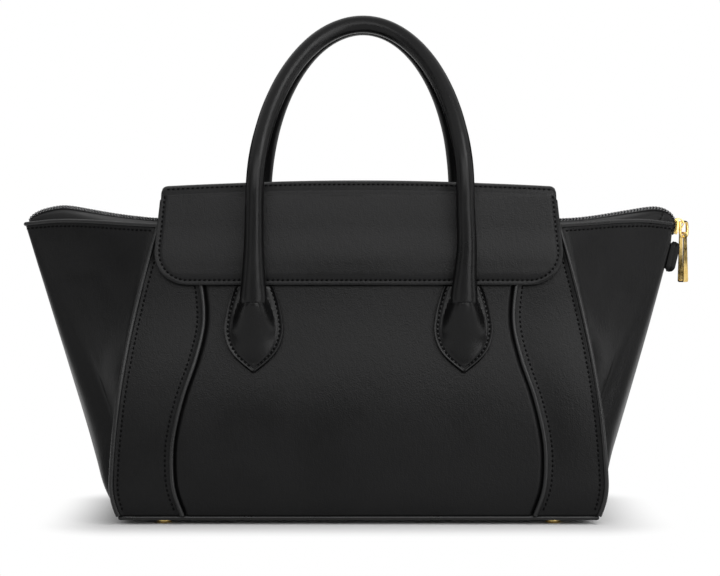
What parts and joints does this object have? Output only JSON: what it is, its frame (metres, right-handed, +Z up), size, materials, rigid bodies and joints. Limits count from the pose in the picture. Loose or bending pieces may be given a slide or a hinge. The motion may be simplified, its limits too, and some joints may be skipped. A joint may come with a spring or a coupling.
{
  "type": "tote bag",
  "caption": "Winged leather handbag: stitched front flap, rolled handles on teardrop tabs, piped panels, and a zip that bends over the wing tips to a hanging metal pull.",
  "frame": {"origin": "centre of the part's box at the ground, the plane of the feet; the slider and pull reach past the right wing tip, so the bag's own middle plane is at x = 0.00193", "axes": "+X to the wing tip where the zip closes, -Y to the front with the flap, +Z up"},
  "size_m": [0.4515, 0.1308, 0.3366],
  "materials": {
    "panel_leather": "black, fine grain, semi-gloss",
    "flap_leather": "black, fine grain, semi-gloss",
    "handle_leather": "black, smooth, semi-gloss",
    "edge_leather": "black, smooth, semi-gloss",
    "lining": "dark woven cloth",
    "tape": "black woven tape",
    "coil": "black polymer coil",
    "board": "stiff base board",
    "core": "flexible cord",
    "gold": "polished light gold"
  },
  "bodies": {
    "bag": {"front_panel": "panel_leather", "back_panel": "panel_leather", "front_side_panel_left": "panel_leather", "front_side_panel_right": "panel_leather", "back_side_panel_left": "panel_leather", "back_side_panel_right": "panel_leather", "gusset_left": "panel_leather", "gusset_right": "panel_leather", "front_seam_piping_left": "edge_leather", "front_seam_piping_right": "edge_leather", "back_seam_piping_left": "edge_leather", "back_seam_piping_right": "edge_leather", "front_corner_piping_left": "edge_leather", "front_corner_piping_right": "edge_leather", "back_corner_piping_left": "edge_leather", "back_corner_piping_right": "edge_leather", "base_piping": "edge_leather", "front_top_binding": "edge_leather", "back_top_binding": "edge_leather", "base_panel": "panel_leather", "base_board": "board", "foot_front_left": "gold", "foot_front_right": "gold", "foot_back_left": "gold", "foot_back_right": "gold", "zip_tape_front": "tape", "zip_tape_back": "tape", "zip_coil_front": "coil", "zip_coil_back": "coil", "zip_collar_front": "edge_leather", "zip_collar_back": "edge_leather", "zip_end_tab": "edge_leather", "flap_back_strip": "flap_leather", "front_handle_tab_left": "panel_leather", "front_handle_tab_right": "panel_leather", "back_handle_tab_left": "panel_leather", "back_handle_tab_right": "panel_leather", "bag_lining": "lining", "slip_pocket": "lining"},
    "flap_top": {"flap_top": "flap_leather", "flap_top_lining": "lining"},
    "flap_front": {"flap_front": "flap_leather", "flap_front_lining": "lining"},
    "front_handle": {"front_handle": "handle_leather", "front_handle_core": "core"},
    "back_handle": {"back_handle": "handle_leather", "back_handle_core": "core"},
    "zip_slider": {"zip_slider": "gold"},
    "zip_ring": {"zip_ring": "gold"},
    "zip_pull": {"zip_pull": "gold"}
  },
  "joints": [
    {"name": "flap_top_hinge", "type": "hinge", "parent": "bag", "child": "flap_top", "pos_m": [0.00193, 0.04391, 0.2205], "axis": [-1, 0, 0], "range_deg": [0, 65]},
    {"name": "flap_front_hinge", "type": "hinge", "parent": "flap_top", "child": "flap_front", "pos_m": [0.00193, -0.04241, 0.2178], "axis": [-1, 0, 0], "range_deg": [-52, 0]},
    {"name": "front_handle_hinge", "type": "hinge", "parent": "bag", "child": "front_handle", "pos_m": [0.00193, -0.05939, 0.1449], "axis": [1, 0, 0], "range_deg": [0, 110]},
    {"name": "back_handle_hinge", "type": "hinge", "parent": "bag", "child": "back_handle", "pos_m": [0.00193, 0.05939, 0.1449], "axis": [-1, 0, 0], "range_deg": [0, 110]},
    {"name": "zip_slider_travel", "type": "hinge", "parent": "bag", "child": "zip_slider", "pos_m": [0.20393, 0, 0.1953], "axis": [0, -1, 0], "range_deg": [0, 75]},
    {"name": "zip_ring_hinge", "type": "hinge", "parent": "zip_slider", "child": "zip_ring", "pos_m": [0.22072, 0, 0.19589], "axis": [-0.5, -0.866, 0], "range_deg": [0, 100]},
    {"name": "zip_pull_hinge", "type": "hinge", "parent": "zip_ring", "child": "zip_pull", "pos_m": [0.22222, 0.0026, 0.18689], "axis": [-0.5, -0.866, 0], "range_deg": [0, 90]}
  ],
  "couplings": [
    {"joint": "flap_front_hinge", "follows": "flap_top_hinge", "ratio": -0.8}
  ]
}
